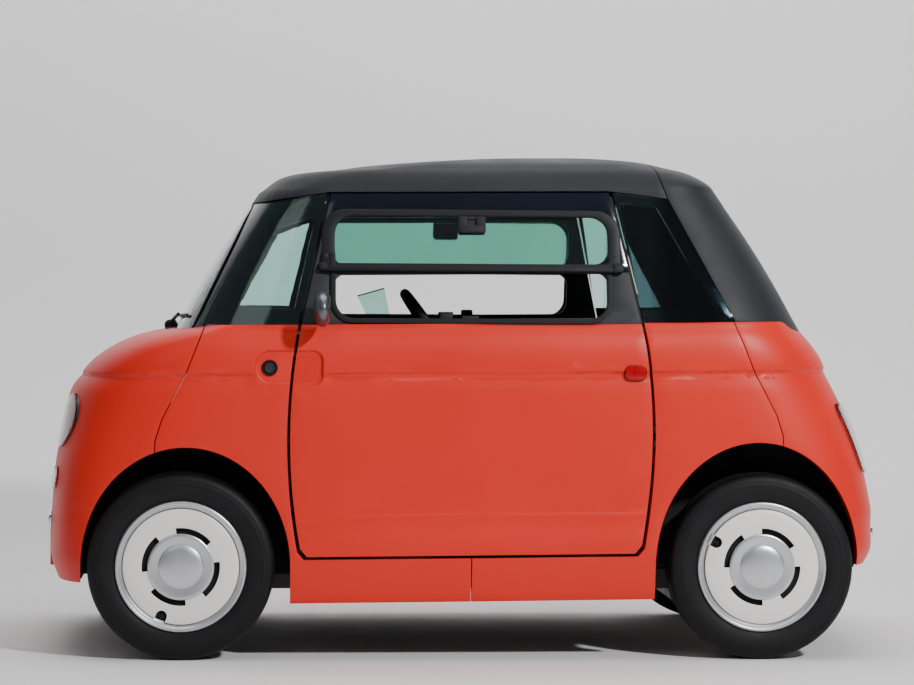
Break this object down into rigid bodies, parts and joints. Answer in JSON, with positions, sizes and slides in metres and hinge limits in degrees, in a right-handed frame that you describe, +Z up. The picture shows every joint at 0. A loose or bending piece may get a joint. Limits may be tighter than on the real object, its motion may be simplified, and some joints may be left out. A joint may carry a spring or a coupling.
{
  "type": "microcar",
  "caption": "Closed two-seat electric microcar with rear- and front-hinged doors, steered front wheels and folded-up window flaps.",
  "frame": {"origin": "on the floor, under the middle of the outline box", "axes": "+X forward, +Y to the left side, +Z up"},
  "size_m": [2.5364, 1.652, 1.513],
  "materials": {
    "body_colour": "satin",
    "roof_black": "satin",
    "frame_black": "gloss",
    "tinted_glass": "polished",
    "flap_frame": "satin",
    "lamp_glass": "polished",
    "tail_lamp": "gloss",
    "chrome": "polished",
    "tyre": "matt",
    "wheel_cream": "satin",
    "seat_fabric": "woven",
    "trim_plastic": "grained",
    "cast_case": "cast",
    "chassis_steel": "satin black"
  },
  "bodies": {
    "car": {"arch_liners_front": "trim_plastic", "arch_liners_rear": "trim_plastic", "battery_pack": "cast_case", "chassis_frame": "chassis_steel", "dashboard": "trim_plastic", "drive_unit": "cast_case", "floor_pan": "trim_plastic", "front_panel": "body_colour", "front_suspension": "chassis_steel", "front_trim_bar": "chrome", "headlamp_left": "lamp_glass", "headlamp_right": "lamp_glass", "indicator_left": "lamp_glass", "indicator_right": "lamp_glass", "quarter_glass_front_left": "tinted_glass", "quarter_glass_front_right": "tinted_glass", "quarter_glass_rear_left": "tinted_glass", "quarter_glass_rear_right": "tinted_glass", "rear_axle": "chassis_steel", "rear_frame_left": "frame_black", "rear_frame_right": "frame_black", "rear_panel": "body_colour", "rear_trim_bar": "chrome", "rear_upper_panel": "roof_black", "rear_window": "tinted_glass", "roof_panel": "roof_black", "seat_base_left": "chassis_steel", "seat_left": "seat_fabric", "seat_right": "seat_fabric", "side_panel_front_left": "body_colour", "side_panel_front_right": "body_colour", "side_panel_rear_left": "body_colour", "side_panel_rear_right": "body_colour", "steering_column": "trim_plastic", "tail_lamp_left": "tail_lamp", "tail_lamp_right": "tail_lamp", "windscreen": "tinted_glass", "windscreen_frame": "frame_black"},
    "door_left": {"door_shell_left": "body_colour", "door_frame_left": "frame_black", "door_glass_left": "tinted_glass", "window_flap_left": "flap_frame", "door_mirror_left": "trim_plastic"},
    "knuckle_left": {"knuckle_left": "chassis_steel"},
    "door_right": {"door_shell_right": "body_colour", "door_frame_right": "frame_black", "door_glass_right": "tinted_glass", "window_flap_right": "flap_frame", "door_mirror_right": "trim_plastic"},
    "knuckle_right": {"knuckle_right": "chassis_steel"},
    "wheel_front_left": {"tyre_front_left": "tyre", "wheel_front_left": "wheel_cream"},
    "wheel_front_right": {"tyre_front_right": "tyre", "wheel_front_right": "wheel_cream"},
    "wheel_rear_left": {"tyre_rear_left": "tyre", "wheel_rear_left": "wheel_cream"},
    "wheel_rear_right": {"tyre_rear_right": "tyre", "wheel_rear_right": "wheel_cream"},
    "steering_wheel": {"steering_wheel": "trim_plastic"}
  },
  "joints": [
    {"name": "door_left_hinge", "type": "hinge", "parent": "car", "child": "door_left", "pos_m": [-0.54515, 0.687, 0.66669], "axis": [0, 0, 1], "range_deg": [0, 70]},
    {"name": "door_right_hinge", "type": "hinge", "parent": "car", "child": "door_right", "pos_m": [0.53915, -0.687, 0.66669], "axis": [0, 0, 1], "range_deg": [0, 70]},
    {"name": "steer_left", "type": "hinge", "parent": "car", "child": "knuckle_left", "pos_m": [0.8545, 0.575, 0.278], "axis": [0, 0, 1], "range_deg": [-30, 30]},
    {"name": "steer_right", "type": "hinge", "parent": "car", "child": "knuckle_right", "pos_m": [0.8545, -0.575, 0.278], "axis": [0, 0, 1], "range_deg": [-30, 30]},
    {"name": "steering_wheel_turn", "type": "hinge", "parent": "car", "child": "steering_wheel", "pos_m": [0.088, 0.285, 0.957], "axis": [-0.8192, 0, 0.5736], "range_deg": [-450, 450]},
    {"name": "spin_front_left", "type": "hinge", "parent": "knuckle_left", "child": "wheel_front_left", "pos_m": [0.8545, 0.6, 0.278], "axis": [0, 1, 0], "continuous": true},
    {"name": "spin_front_right", "type": "hinge", "parent": "knuckle_right", "child": "wheel_front_right", "pos_m": [0.8545, -0.6, 0.278], "axis": [0, 1, 0], "continuous": true},
    {"name": "spin_rear_left", "type": "hinge", "parent": "car", "child": "wheel_rear_left", "pos_m": [-0.8735, 0.6, 0.278], "axis": [0, 1, 0], "continuous": true},
    {"name": "spin_rear_right", "type": "hinge", "parent": "car", "child": "wheel_rear_right", "pos_m": [-0.8735, -0.6, 0.278], "axis": [0, 1, 0], "continuous": true}
  ],
  "couplings": [
    {"joint": "steer_right", "follows": "steer_left", "ratio": 1},
    {"joint": "steering_wheel_turn", "follows": "steer_left", "ratio": 15}
  ]
}
